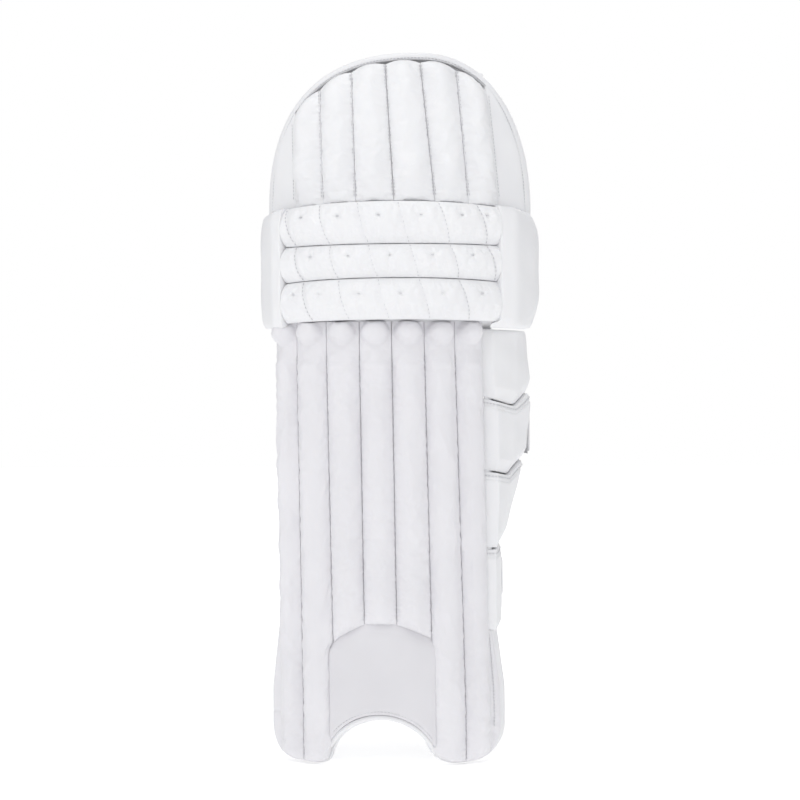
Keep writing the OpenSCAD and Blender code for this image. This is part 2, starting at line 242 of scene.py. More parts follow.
MAT = {
    "white": leather("white_leather", (0.86, 0.86, 0.875), (0.90, 0.90, 0.91)),
    # shin: the white leather made darker and a touch cooler. The darkness is painted shade for the shin,
    # which lies lower and gets less of the top light; it also colours the flaps and the inner wing
    "shin": leather("shin_leather_painted_shade", (0.795, 0.785, 0.81), (0.835, 0.825, 0.85)),
    # patch: the shin leather made darker still, as painted shade on the instep patch below its lit top edge
    "patch": leather("patch_leather_painted_shade", (0.725, 0.715, 0.74), (0.765, 0.755, 0.78)),
    "binding": leather("binding_leather", (0.85, 0.85, 0.865), (0.89, 0.89, 0.90), 0.42, 0.7),
    "thread": cloth_mat("thread", (0.66, 0.66, 0.69), (0.76, 0.76, 0.78), 0.0005, 0.6, 0.7),
    "lining": cloth_mat("lining_cloth", (0.74, 0.74, 0.75), (0.83, 0.83, 0.84), 0.0016, 0.8),
    "cushion": cloth_mat("cushion_cloth", (0.78, 0.78, 0.79), (0.86, 0.86, 0.87), 0.0012, 0.6),
    "strap": cloth_mat("strap_web", (0.76, 0.76, 0.78), (0.85, 0.85, 0.86), 0.0019, 0.9, 0.8),
    "loop": cloth_mat("loop_pile", (0.72, 0.72, 0.74), (0.84, 0.84, 0.85), 0.0009, 0.5, 0.97, 0.8),
    "hook": cloth_mat("hook_tape", (0.70, 0.70, 0.72), (0.80, 0.80, 0.81), 0.0014, 1.0, 0.6),
    "board": cloth_mat("board_cloth", (0.76, 0.76, 0.78), (0.84, 0.84, 0.85), 0.0010, 0.5),
    "cane": leather("cane", (0.62, 0.46, 0.26), (0.74, 0.58, 0.35), 0.5, 0.4),
    "core": leather("core_foam", (0.80, 0.80, 0.82), (0.86, 0.86, 0.88), 0.8, 1.6),
}


# ---- mesh helpers ---------------------------------------------------------
def mesh(name, verts, faces, mat):
    me = bpy.data.meshes.new(name)
    me.from_pydata([tuple(v) for v in verts], [], [tuple(int(i) for i in f) for f in faces])
    me.validate()
    me.polygons.foreach_set("use_smooth", [True] * len(me.polygons))
    ob = bpy.data.objects.new(name, me)
    bpy.context.collection.objects.link(ob)
    me.materials.append(MAT[mat])
    return ob


def spaced(n, ease=0.8):
    """n values from 0 to 1, closer together at both ends."""
    t = np.linspace(0, 1, n)
    return (1 - ease) * t + ease * (1 - np.cos(pi * t)) / 2


def edge(t, k):
    """1 in the middle of t's run from 0 to 1, and 0 at both ends. A larger k
    is squarer."""
    return (1 - np.abs(2 * t - 1) ** k) ** (1 / k)


def quads(g):
    """Four corners for each cell of a grid of point numbers."""
    return np.stack([g[:-1, :-1], g[1:, :-1], g[1:, 1:], g[:-1, 1:]], -1).reshape(-1, 4)


def pillow(name, place, nu, nv, ku, kv, mat, ease=0.8):
    """A closed skin over two grids that meet at their rims. place(u, v, h) gives
    points; h runs from 1 on the face through 0 at the rim to -1."""
    u, v = np.meshgrid(spaced(nu, ease), spaced(nv, ease), indexing="ij")
    h = edge(u, ku) * edge(v, kv)
    front = put(place(u.ravel(), v.ravel(), h.ravel()))
    back = put(place(u.ravel(), v.ravel(), -h.ravel()))
    idx = np.arange(nu * nv).reshape(nu, nv)
    inner = np.full((nu, nv), -1)
    keep = np.zeros((nu, nv), bool)
    keep[1:-1, 1:-1] = True
    inner[keep] = nu * nv + np.arange(keep.sum())
    inner[~keep] = idx[~keep]
    verts = np.vstack([front, back[keep.ravel()]])
    faces = np.vstack([quads(idx), quads(inner)[:, ::-1]])
    return mesh(name, verts, faces, mat)


def arc(c, a, r, z):
    """Points on a curved section: a in degrees from straight ahead."""
    a = np.radians(a)
    return np.stack([c[0] + r * np.sin(a), c[1] - r * np.cos(a), z + 0 * a], -1)


def bearing(x, r):
    """Angle at which a circle of radius r is x across from its middle."""
    return np.degrees(np.arcsin(x / r))


def outward(a):
    """The direction away from a section's axis at angle a."""
    return arc((0, 0), a, 1.0, 0 * a)


def bell(x, w):
    return np.exp(-((x / w) ** 2))


def squared(t, power):
    """The cosine and sine of t, pushed out towards a square."""
    return [np.sign(f(t)) * np.abs(f(t)) ** power for f in (np.cos, np.sin)]


def frames(pts, up):
    """Tangent, outward and sideways at each point of a path."""
    t = np.gradient(pts, axis=0)
    t /= np.linalg.norm(t, axis=1)[:, None] + 1e-12
    up = up - (up * t).sum(1)[:, None] * t
    up /= np.linalg.norm(up, axis=1)[:, None] + 1e-12
    return t, up, np.cross(t, up)


def around(m, n):
    """The point numbers of m rings of n points, and the faces between them."""
    idx = np.arange(m * n).reshape(m, n)
    nxt = np.roll(idx, -1, axis=1)
    return idx, np.stack([idx[:-1], nxt[:-1], nxt[1:], idx[1:]], -1).reshape(-1, 4)


def tube(name, rings, mat):
    """A closed skin over a row of rings, with a flat cap at each end."""
    idx, sides = around(*rings.shape[:2])
    faces = [tuple(f) for f in sides] + [tuple(idx[0][::-1]), tuple(idx[-1])]
    return mesh(name, put(rings.reshape(-1, 3)), faces, mat)


def band(name, pts, up, w, t, mat, k, n):
    """A flat band, w wide and t thick, swept along a path. A larger k gives
    squarer edges, and n is the number of points round it."""
    _, o, s = frames(pts, up)
    x, y = squared(np.linspace(0, 2 * pi, n, endpoint=False), 2 / k)
    x, y = x * w / 2, y * t / 2
    rings = pts[:, None] + s[:, None] * x[None, :, None] + o[:, None] * y[None, :, None]
    return tube(name, rings, mat)


def resample(pts, step):
    """The same path with its points a step apart."""
    d = np.r_[0, np.cumsum(np.linalg.norm(np.diff(pts, axis=0), axis=1))]
    n = max(2, int(round(d[-1] / step)) + 1)
    s = np.linspace(0, d[-1], n)
    return np.stack([np.interp(s, d, pts[:, i]) for i in range(pts.shape[1])], -1)


# rows of stitches that wait for sew(), by group
STITCHES = {}


def stitch(group, pts, up, lift=0.25, step=3.4, length=2.5, r=0.42):
    """Adds a row of stitches along a path; each is a small stretched bead."""
    both = resample(np.hstack([pts, up]), step)
    p, o = both[:, :3], both[:, 3:]
    t, o, s = frames(p, o)
    ring = []
    for f, g in ((-0.5, 0.15), (-0.3, 0.9), (0.3, 0.9), (0.5, 0.15)):
        for q in range(6):
            a = q * pi / 3
            ring.append((f * length, cos(a) * r * g, sin(a) * r * g))
    ring = np.array(ring)
    v = (p[:, None] + t[:, None] * ring[None, :, :1] + s[:, None] * ring[None, :, 1:2]
         + o[:, None] * (ring[None, :, 2:3] + lift))
    STITCHES.setdefault(group, []).append(v)


def sew(group, body):
    """One mesh from all the stitches of a group."""
    v = np.concatenate([a.reshape(-1, 24, 3) for a in STITCHES.pop(group)])
    one = around(4, 6)[1]
    faces = (one[None] + 24 * np.arange(len(v))[:, None, None]).reshape(-1, 4)
    ob = mesh("stitches_" + group, put(v.reshape(-1, 3)), faces, "thread")
    done(ob, body, "white_leather")


def done(ob, body, slot, *nodes, pad=None):
    """Hangs a piece under its body and hides the CAD nodes it stands for. pad, how full its padding is, is
    not used.
    """
    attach(ob, body)
    if nodes:
        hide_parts(*nodes)


def bound_edge(name, node, body, group, c, r0, r1, lim, xz, w):
    """A bound edge, w wide, along an outline seen from the front, and its
    stitches. It is cut straight through the shell between radii r0 and r1,
    whose ends are at lim degrees."""
    t = np.gradient(xz, axis=0)
    t /= np.linalg.norm(t, axis=1)[:, None]
    inward = np.column_stack([-t[:, 1], t[:, 0]])
    across, deep = squared(np.linspace(0, 2 * pi, 24, endpoint=False), 0.5)
    across = across * w / 2
    q = xz[:, None] + inward[:, None] * (across + w / 2)[None, :, None]
    x = q[..., 0] - c[0]
    front = -np.sqrt(np.maximum(r1 ** 2 - x * x, 0))
    back = np.minimum(-np.sqrt(np.maximum(r0 ** 2 - x * x, 0)), -np.abs(x) / tan(radians(lim)))
    y = c[1] + (front + back) / 2 - deep * (back - front) / 2
    rings = np.stack([q[..., 0], y, q[..., 1]], -1)
    seam = xz + inward * (w - 2.0)
    sx = seam[:, 0] - c[0]
    line = np.column_stack([seam[:, 0], c[1] - np.sqrt(np.maximum(r1 ** 2 - sx * sx, 0)), seam[:, 1]])
    up = np.column_stack([sx / r1, -np.sqrt(np.maximum(1 - (sx / r1) ** 2, 0)), 0 * sx])
    done(tube(name, rings, "binding"), body, "binding_leather", node)
    stitch(group, line, up, lift=0.15)
    sew(group, body)


def places(ob):
    """A mesh's points in the design's millimetres."""
    return np.array([w.co for w in ob.data.vertices]) * 1000 + MID


def distance(p, c):
    """How far, in plan, each point is from an axis."""
    return np.hypot(p[:, 0] - c[0], p[:, 1] - c[1])


# ---- simulation -----------------------------------------------------------
def swell(ob, held, pressure, cap, steps=7):
    """Cloth with pressure on a padded piece. held is the share, 0 to 1, by
    which each point is pinned; no point ends more than cap mm from its place."""
    stiff = 12.0
    start = np.empty(len(ob.data.vertices) * 3)
    ob.data.vertices.foreach_get("co", start)
    start = start.reshape(-1, 3)
    g = ob.vertex_groups.new(name="held")
    for w in np.unique(np.round(held, 2)):
        ids = np.nonzero(np.abs(np.round(held, 2) - w) < 1e-6)[0]
        g.add([int(i) for i in ids], float(w), "REPLACE")
    m = ob.modifiers.new("cloth", "CLOTH")
    s = m.settings
    s.quality, s.mass = 4, 0.25
    s.tension_stiffness = s.compression_stiffness = stiff
    s.shear_stiffness, s.bending_stiffness = stiff * 0.5, 0.6
    s.vertex_group_mass = "held"
    s.pin_stiffness = 1.0
    s.use_pressure = True
    s.uniform_pressure_force = pressure
    s.shrink_min = -0.035
    s.effector_weights.gravity = 0.0
    m.collision_settings.use_collision = False
    m.point_cache.frame_start, m.point_cache.frame_end = 1, steps
    sc = bpy.context.scene
    for f in range(1, steps + 1):
        sc.frame_set(f)
    dg = bpy.context.evaluated_depsgraph_get()
    ev = ob.evaluated_get(dg).data
    out = np.empty(len(ev.vertices) * 3)
    ev.vertices.foreach_get("co", out)
    move = out.reshape(-1, 3) - start
    far = np.linalg.norm(move, axis=1)
    move *= np.minimum(1, cap / 1000 / np.maximum(far, 1e-9))[:, None]
    ob.modifiers.remove(m)
    ob.vertex_groups.clear()
    ob.data.vertices.foreach_set("co", (start + move).ravel())
    ob.data.update()
    sc.frame_set(1)


def apply(ob, m):
    """Replaces a mesh by what its modifier m makes of it."""
    dg = bpy.context.evaluated_depsgraph_get()
    new = bpy.data.meshes.new_from_object(ob.evaluated_get(dg))
    ob.modifiers.remove(m)
    old = ob.data
    ob.data = new
    bpy.data.meshes.remove(old)


def finer(ob):
    m = ob.modifiers.new("finer", "SUBSURF")
    m.levels = m.render_levels = 1
    apply(ob, m)


def pucker(z, u, seed, pitch, depth):
    """Small tucks in the leather beside the seams at u = 0 and u = 1."""
    reach = 0.16
    r = np.random.default_rng(1000 + seed)
    ph, wob = r.uniform(0, 6.28, 4), r.uniform(0.8, 1.25, 4)
    a = sum(np.sin(2 * pi * z / (pitch * w * m) + p) for w, p, m in zip(wob, ph, (1, 1.7, 0.6, 2.9))) / 2.2
    return depth * a * (bell(u, reach) + bell(1 - u, reach))


# ---- outlines -------------------------------------------------------------
LOBE_R = 32
# the flat bottoms of the foot's two lobes, across the pad: left, then right
LOBES = (-86, -68, 72, 86)
# the instep arch: the middle, across and up, and the radius of its two bends
ARCH_BENDS = ((2, 2.5, 44), (-6, -2, 46))
# the top hat's arch: its middle and its foot, how far it rises, and the half
# width and the power of the curve on its right and its left
HAT_X, HAT_Z, HAT_RISE = 40, 547, 153
HAT_RIGHT, HAT_LEFT = (107, 2.3), (159, 2.42)


def foot_low(x, inset=0.0):
    """Height of the foot's lower edge at a place across the pad."""
    x = np.asarray(x, float)
    left = np.maximum(LOBES[0] - x, x - LOBES[1])
    right = np.maximum(LOBES[2] - x, x - LOBES[3])
    dx = np.maximum(np.where(x < 0, left, right), 0)
    r = LOBE_R - inset
    low = LOBE_R - np.sqrt(np.maximum(r * r - dx * dx, 0))
    for cx, cz, bend in ARCH_BENDS:
        reach = (bend + inset) ** 2 - (x - cx) ** 2
        low = np.where(reach > 0, np.maximum(low, cz + np.sqrt(np.maximum(reach, 0))), low)
    return low


def foot_side(z):
    """How far out the foot's side is at a height: a round lobe, then a lean."""
    z = np.asarray(z, float)
    lobe = LOBES[3] + np.sqrt(np.maximum(LOBE_R ** 2 - (LOBE_R - z) ** 2, 0))
    lean = 8 * np.clip((z - 70) / 61, 0, 1)
    return np.where(z < LOBE_R, lobe, LOBES[3] + LOBE_R - lean)


def hat_top(x, inset=0.0):
    """Height of the top hat's arch at a place across the pad."""
    x = np.asarray(x, float) - HAT_X
    w, n = [np.where(x > 0, r, l) for r, l in zip(HAT_RIGHT, HAT_LEFT)]
    w = w - inset
    return HAT_Z + (HAT_RISE - inset) * np.maximum(1 - np.minimum(np.abs(x) / w, 1) ** n, 0) ** (1 / n)


def hat_side(z, side, inset=0.0):
    """Angle of the top hat's edge at a height; side is -1 or 1."""
    w, n = HAT_RIGHT if side > 0 else HAT_LEFT
    t = np.clip((np.asarray(z, float) - HAT_Z) / (HAT_RISE - inset), 0, 1)
    x = HAT_X + side * (w - inset) * (1 - t ** n) ** (1 / n) - HAT[0]
    lim = 0.905 if side > 0 else 0.925
    return np.degrees(np.arcsin(np.clip(x / 149, -lim, lim)))


# ---- shin -----------------------------------------------------------------
# the eight seams' angles at the foot and under the knee
SHIN_LOW = (-43.8, -32.4, -18.8, -6.3, 5.8, 18.8, 31.6, 43.2)
SHIN_TOP = (-45.0, -33.8, -20.5, -7.4, 4.7, 16.9, 28.9, 41.0)
ROLL_TOP = 439.0
# the radius that the rolls and the patch are sewn down to
ROLL_SEAT = 150.4
PATCH_SEAT = 146.5


def shin_seam(i, z):
    """Angle of seam i, 0 to 7, which leans a little from the foot to the knee."""
    t = np.clip((z - 157) / 260.0, -0.4, 1)
    aside = -1.5 * np.clip((123 - z) / 5, 0, 1) if i == 2 else 0
    return SHIN_LOW[i] + (SHIN_TOP[i] - SHIN_LOW[i]) * t + aside


def patch_top(x):
    """Height of the instep patch's upper edge, which is cut in straight lines."""
    across = [-56, -51, -41, -27, -16, 13, 24, 36, 54]
    return np.interp(x, across, [118, 122, 130.5, 138, 143, 143, 139.5, 134, 125.5])


def by_patch(i):
    """Whether roll i, 1 to 7, stops at the instep patch."""
    return 3 <= i <= 5


def roll_low(i, x):
    return patch_top(x) - 1.5 if by_patch(i) else foot_low(np.clip(x, -109, 109), 3.5)


def shin_rolls():
    """Seven upright rolls. Each swells into a ball under the knee."""
    ball_z, ball_wide, ball_tall = 428.0, 13.4, 12.8
    per_degree = 2.55
    for i in range(1, 8):
        def place(u, v, h, i=i):
            est = shin_seam(i - 1, 150) + u * (shin_seam(i, 150) - shin_seam(i - 1, 150))
            low = roll_low(i, 150 * np.sin(np.radians(est)))
            z = low + v * (ROLL_TOP - low)
            a0, a1 = shin_seam(i - 1, z), shin_seam(i, z)
            a = a0 + u * (a1 - a0)
            face = np.clip(h, 0, 1)
            end = 1 - np.exp(-(z - low) / (6.0 if by_patch(i) else 9.0))
            neck = np.clip((z - 396) / 14, 0, 1)
            crown = (1 - np.abs(2 * u - 1) ** 2.1) * end * (1 - 0.5 * neck)
            r = ROLL_SEAT + face * (1.0 * (1 - 0.35 * neck) + 9.6 * crown)
            aside = (a - (a0 + a1) / 2) * per_degree
            q = (aside / ball_wide) ** 2 + ((z - ball_z) / ball_tall) ** 2
            ball = 150.5 + 15.5 * np.sqrt(np.maximum(1 - q, 0))
            soft = np.logaddexp(r * 1.6, ball * 1.6) / 1.6
            r = np.where(h > 0, np.where(z > 405, r + (soft - r) * face, r), ROLL_SEAT + 9.0 * h)
            r = r + pucker(z, u, 10 + i, 6.5, 0.4) * (h > 0) * (z < 398)
            return arc(SHIN, a, r, z)

        ob = pillow(f"shin_roll_{i}_leather", place, 25, 130, 4.5, 16, "shin")
        rad = distance(places(ob), SHIN)
        swell(ob, np.clip((154.0 - rad) / 3.5, 0, 1), 2.0, 1.0)
        finer(ob)
        done(ob, "shin", "white_leather", f"shin_roll_{i}", pad=0.9)
    for k in range(1, 7):
        a_foot = float(shin_seam(k, 90))
        x = 150 * sin(radians(a_foot))
        low = patch_top(x) + 3 if 2 < k < 5 else float(foot_low(x, 7))
        z = np.linspace(low, 404, 60)
        a = shin_seam(k, z)
        stitch("shin", arc(SHIN, a, 151.2, z), outward(a), lift=0.1)


def patch_low(x):
    """Height of the instep patch's lower edge, over the arch."""
    return -7 + np.sqrt(np.maximum(60.0 ** 2 - (x + 2) ** 2, 0))


def instep():
    """The padded patch over the instep, with stitches and piping."""
    def place(u, v, h):
        x = -52.0 + u * 105
        a = bearing(x, 152)
        low = patch_low(x)
        z = low + v * (patch_top(x) - low)
        bevel = 4.6 * bell(patch_top(x) - z, 7.5) + 1.6 * bell(z - low, 3.5)
        wave = np.sin(x / 9.0 + z / 15.0) * 0.25 + np.sin(z / 6.0 - x / 21.0) * 0.15
        face = PATCH_SEAT + 8.2 * h + (wave - bevel) * np.clip(h, 0, 1)
        r = np.where(h > 0, face, PATCH_SEAT + 10 * h)
        return arc(SHIN, a, r, z)
    ob = pillow("instep_leather", place, 60, 80, 12, 12, "patch")
    done(ob, "shin", "white_leather", "instep_patch", "instep_foam", pad=0.5)
    x = np.linspace(-47, 48, 70)
    a = bearing(x, 152)
    stitch("instep", arc(SHIN, a, 153.6, patch_low(x) + 3.4), outward(a), lift=0.1)
    sew("instep", "shin")
    x = np.linspace(-54, 53.5, 90)
    a = bearing(x, 150)
    path = resample(arc(SHIN, a, PATCH_SEAT, patch_low(x) - 3.2), 2.0)
    a = np.degrees(np.arctan2(path[:, 0], SHIN[1] - path[:, 1]))
    piping = band("instep_piping", path, outward(a), 5.2, 5.2, "binding", 2.2, 16)
    done(piping, "shin", "binding_leather")


def foot_edge():
    """The foot's outline from the left flap's top, round to the right's."""
    side = [(float(foot_side(z)), z) for z in np.linspace(131, 33, 50)]
    xs = np.linspace(-117.9, 117.9, 900)
    pts = [(-x, z) for x, z in side] + list(zip(xs, foot_low(xs))) + side[::-1]
    pts = resample(np.array(pts), 2.0)
    k = np.ones(5) / 5
    for j in range(2):
        pts[2:-2, j] = np.convolve(pts[:, j], k, "valid")
    return pts


def flap(side):
    """The flat leather between the last roll and the foot's binding."""
    name = "left" if side < 0 else "right"
    seam = 0 if side < 0 else 7

    def ends(z):
        return np.abs(shin_seam(seam, z)) - 0.6, bearing(foot_side(z) - 2.6, 148.5)

    def place(u, v, h):
        z = 8.5 + v * 122.5
        a0, a1 = ends(z)
        a1 = np.maximum(a1, a0 + 0.3)
        a = side * (a0 + u * (a1 - a0))
        low = np.clip((62 - z) / 20, 0, 1)
        crush = 0.55 * np.sin(z / 1.9 + 5 * u) * low * np.sin(pi * u)
        tuck = -1.3 * bell(z - 48.5, 1.6) if side < 0 else crush - 0.9 * bell((u - 0.45) * 12, 1.0)
        r = 144.7 + 4.2 * h + (tuck + 0.35 * np.sin(z / 9 + u * 4)) * np.clip(h, 0, 1)
        return arc(SHIN, a, r, z)
    ob = pillow(f"ankle_flap_{name}_leather", place, 26, 110, 4, 14, "shin")
    done(ob, "shin", "white_leather", f"ankle_flap_{name}", pad=0.6)
    if side > 0:
        z = np.linspace(36, 126, 40)
        a0, a1 = ends(z)
        a = a0 + 0.45 * (a1 - a0)
        stitch("flap", arc(SHIN, a, 148.6, z), outward(a), lift=0.1)
        sew("flap", "shin")


def shin_lining():
    """Cloth behind the shin's board, quilted in rows."""
    top, row = 435, 61

    def place(u, v, h):
        a = -45.6 + 91.2 * u
        x = 126 * np.sin(np.radians(a))
        low = foot_low(np.clip(x * 1.1, -110, 110), 6)
        z = low + v * (top - low)
        quilt = 1.6 * np.abs(np.sin(pi * (z - top) / row)) ** 0.6
        return arc(SHIN, a, 126.2 - 2.8 * h - np.where(h < 0, 0, quilt * h) * 0.8, z)
    ob = pillow("shin_lining_cloth", place, 70, 150, 20, 30, "lining", 0.3)
    done(ob, "shin", "lining_cloth", "shin_lining", pad=0.4)
    for k in range(5, 0, -1):
        a = np.linspace(-43, 43, 80)
        stitch("lining", arc(SHIN, a, 123.3, top - row * k), -outward(a), lift=0.3)
    sew("lining", "shin")


def cushion(name, node, side, r, z0, z1, c, back, body, n):
    """A leg cushion with n quilted parts. Its inner face lies on the leg, at
    radius r; its outer face lies on the lining, at radius back from c."""
    def place(u, v, h):
        t = radians(-90) + side * np.radians(20 + 60 * u)
        z = z0 + v * (z1 - z0)
        dx, dy = np.cos(t), np.sin(t)
        px, py = LEG[0] - c[0], LEG[1] - c[1]
        b = px * dx + py * dy
        far = np.minimum(-b + np.sqrt(b * b - px * px - py * py + (back - 0.2) ** 2), r + 23)
        quilt = 2.2 * bell(((v * n + 0.5) % 1 - 0.5) * (z1 - z0) / n, 3.0)
        mid = (r + 0.3 + far) / 2
        half = (far - r - 0.3) / 2
        d = mid - half * h + quilt * np.where(h > 0, h, 0) * (v > 0.03) * (v < 0.97)
        return np.stack([d * dx, LEG[1] + d * dy, z], -1)
    ob = pillow(name, place, 34, 34 * n, 4.5, 14, "cushion", 0.6)
    held = np.clip((distance(places(ob), LEG) - r - 5) / 4, 0, 1)
    swell(ob, held, 1.0, 0.8, 6)
    done(ob, body, "lining_cloth", node, pad=0.8)


# ---- knee -----------------------------------------------------------------
# heights of the lines under and over the three bars, how far each droops at the
# sides, and the heights of the tufts
BAR_EDGE = (439.6, 480.3, 513.2, 554.9)
BAR_DROOP = (2.4, 3.4, 1.0, 4.6)
TUFT = (465.0, 501.8, 540.6)
BAR_END = 39.3
BAR_RIM = 164.0
BAR_BACK = 151.3
# the slanting quilting lines, and millimetres of leather per degree
LINES = range(-2, 7)
PER_DEGREE = 3.0
SEAM_THREAD = {"step": 4.2, "length": 2.5, "r": 0.5}


def bar_edge(b, a):
    """Height of the line under bar b (3 is the top of the highest) at an angle."""
    return BAR_EDGE[b] - BAR_DROOP[b] * (np.abs(a) / 38.0) ** 2.2


def quilt_line(k, z):
    """Angle of slanting line k at a height."""
    return -38.2 + 13.8 * k + (555 - z) * 0.094


def bar_skin(a, z, b, face, v):
    """Radius of a knee bar's leather, with its quilting lines and tufts."""
    near = np.full_like(a, 99.0)
    for k in LINES:
        near = np.minimum(near, np.abs((a - quilt_line(k, z)) * PER_DEGREE))
    crown = 1 - np.abs(2 * v - 1) ** 2.2
    r = BAR_RIM + face * (1.4 + 8.2 * crown + 1.3 * np.minimum(near / 13, 1) - 1.7 * np.exp(-near / 1.3))
    for k in LINES:
        ac = tuft_angle(k, b)
        if ac is not None:
            q = np.hypot((a - ac) * PER_DEGREE, z - TUFT[b])
            r = r - face * (3.0 * bell(q, 1.9) + 1.3 * bell(q, 6.5))
            fan = np.arctan2(z - TUFT[b], (a - ac) * PER_DEGREE)
            r = r + face * 0.22 * np.sin(fan * 5 + k) * bell(q - 5, 3.5)
    return r + 0.3 * np.sin(a * 1.7 + b) * np.sin(z / 5.0) * face


def tuft_angle(k, b):
    """Angle of the tuft between lines k and k + 1, or None off the bar's end."""
    ac = float(quilt_line(k + 0.5, TUFT[b])) - 0.6
    return None if abs(ac) > 38.5 else max(-34.0, min(34.0, ac))


def bar_row(b, a, v):
    """Height on bar b at an angle, a share v of the way up."""
    return bar_edge(b, a) + v * (bar_edge(b + 1, a) - bar_edge(b, a))


def bar_stitches(b):
    """The quilting lines, the tufts and the end seams of one bar."""
    v = np.linspace(0.07, 0.93, 30)
    for k in LINES:
        z = BAR_EDGE[b] + v * (BAR_EDGE[b + 1] - BAR_EDGE[b])
        a = quilt_line(k, z)
        z = bar_row(b, a, v)
        ok = np.abs(a) < BAR_END - 0.6
        if ok.sum() > 6:
            r = bar_skin(a, z, b, edge(v, 5.0), v)
            stitch("knee", arc(KNEE, a, r, z)[ok], outward(a)[ok], **SEAM_THREAD)
        ac = tuft_angle(k, b)
        if ac is not None:
            a3 = ac + np.array([-0.32, 0, 0.32])
            z3 = TUFT[b] + 0 * a3
            r3 = bar_skin(a3, z3, b, 1.0 + 0 * a3, 0.6 + 0 * a3)
            stitch("knee", arc(KNEE, a3, r3, z3), outward(a3), lift=0.3, step=1.7, length=1.7)
    for side in (-1, 1):
        v = np.linspace(0.1, 0.9, 20)
        a = side * (BAR_END + 0.35) + 0 * v
        stitch("knee", arc(KNEE, a, 166.5, bar_row(b, a, v)), outward(a), lift=0.1, **SEAM_THREAD)


def knee_bars():
    for b in range(3):
        def place(u, v, h, b=b):
            a = -BAR_END + 2 * BAR_END * u
            z = bar_row(b, a, v)
            front = bar_skin(a, z, b, np.clip(h, 0, 1), v)
            return arc(KNEE, a, np.where(h > 0, front, BAR_RIM + (BAR_RIM - BAR_BACK) * h), z)
        ob = pillow(f"knee_bar_{b + 1}_leather", place, 210, 46, 34, 5.0, "white", 0.35)
        p = places(ob)
        a = np.degrees(np.arctan2(p[:, 0] - KNEE[0], -(p[:, 1] - KNEE[1])))
        near = np.min([np.abs(a - quilt_line(k, p[:, 2])) * PER_DEGREE for k in LINES], axis=0)
        rim_held = np.clip((170.0 - distance(p, KNEE)) / 3.0, 0, 1)
        swell(ob, np.maximum(rim_held, np.clip(1.5 - near / 2.5, 0, 1)), 2.0, 0.8)
        finer(ob)
        done(ob, "knee", "white_leather", f"knee_bar_{b + 1}", pad=0.9)
        bar_stitches(b)
    sew("knee", "knee")


def along(chain, u):
    """A point a share u along a chain of points, its corners eased."""
    chain = np.asarray(chain, float)
    s = np.linspace(0, 1, len(chain))
    out = 0
    for w, d in ((0.5, 0.0), (0.25, 0.035), (0.25, -0.035)):
        uu = np.clip(u + d, 0, 1)
        out = out + w * np.stack([np.interp(uu, s, chain[:, j]) for j in range(chain.shape[1])], -1)
    return out


def height(row, u):
    """A height a share u along a row of heights."""
    return along(np.array(row, float)[:, None], u)[:, 0]


def block(node, outer, inner, relief, lo, hi, ku, kv, body, nu, nv):
    """A padded block between an outer and an inner line in plan, and between
    two rows of heights. relief is what its face stands out by."""
    def place(u, v, h):
        zl, zh = height(lo, u), height(hi, u)
        z = zl + v * (zh - zl)
        o, i = outer(u, v, z), inner(u, z)
        p = i + (o - i) * (0.5 + 0.5 * h)[:, None]
        d = o - i
        d = d / (np.linalg.norm(d, axis=1)[:, None] + 1e-9)
        p = p + d * (relief(u, v, z) * np.clip(h, 0, 1))[:, None]
        return np.column_stack([p, z])
    ob = pillow(node + "_leather", place, nu, nv, ku, kv, "white", 0.75)
    done(ob, body, "white_leather", node, pad=0.9)


def knee_blocks():
    """The blocks at the two sides of the knee, each from its front to its back."""
    right_out = [(119, -111.5), (136, -98), (151.5, -62), (155.5, -42), (151, -18), (139, 30)]
    right_in = [(107.5, -91), (117, -77), (129, -50), (131, -38), (131, -18), (121, 30)]
    left_out = [(-98.5, -111), (-109, -101), (-123, -70), (-126.5, -48), (-125, -18), (-120, 8)]
    left_in = [(-86.5, -90), (-94, -80), (-104, -58), (-106, -44), (-105, -18), (-105, 8)]

    def dents(u, v, z):
        waves = 0.3 * np.sin(z / 9 + u * 6) * np.sin(u * 19)
        return waves - 0.5 * bell((v - 0.5) * 60, 9) * bell((u - 0.3) * 10, 1)

    def right_relief(u, v, z):
        turned_in = 8.0 * np.clip((468 - z) / 38, 0, 1) ** 1.6 * np.clip((u - 0.25) / 0.2, 0, 1)
        return dents(u, v, z) - turned_in

    def right_face(u, v, z):
        """The bottom of the front end is a tongue that closes the gap beside the bar."""
        under = np.clip(1 - u / 0.14, 0, 1) * np.clip(1 - (v - 0.03) / 0.03, 0, 1)
        return along(right_out, u) + under[:, None] * np.array([-12.0, 1.5])

    block("knee_block_right", right_face, lambda u, z: along(right_in, u), right_relief,
          [431.5, 430.8, 430.3, 431.5, 439, 446], [552, 550.5, 546, 537, 530, 532],
          22, 5.0, "knee", 70, 50)
    block("knee_block_left", lambda u, v, z: along(left_out, u), lambda u, z: along(left_in, u), dents,
          [433, 431.5, 432, 436, 446, 447], [551, 549.5, 546, 542, 536, 534],
          22, 5.0, "knee", 70, 50)


def knee_lining():
    def place(u, v, h):
        a = -45 + 90 * u
        z = 438.5 + v * 116.5
        quilt = 1.5 * np.abs(np.sin(pi * (z - 438) / 58.5)) ** 0.6
        return arc(KNEE, a, 124 - 3 * h - np.where(h > 0, quilt * h, 0) * 0.7, z)
    ob = pillow("knee_lining_cloth", place, 70, 60, 20, 16, "lining", 0.3)
    done(ob, "knee", "lining_cloth", "knee_cup_lining", pad=0.4)


# ---- top hat --------------------------------------------------------------
# the seven seams' angles at the foot and at the top
LOW_SEAM = (-41, -27.5, -14.2, 0, 14.9, 27.6, 40.3)
TOP_SEAM = (-42, -28.6, -15.5, -2.8, 9.9, 23, 34.5)
HAT_SEAT = 154.0


def hat_seam(i, z):
    """Angle of seam i, 0 to 6, at a height."""
    t = np.clip((z - 557) / 130.0, 0, 1.1)
    return LOW_SEAM[i] + (TOP_SEAM[i] - LOW_SEAM[i]) * t


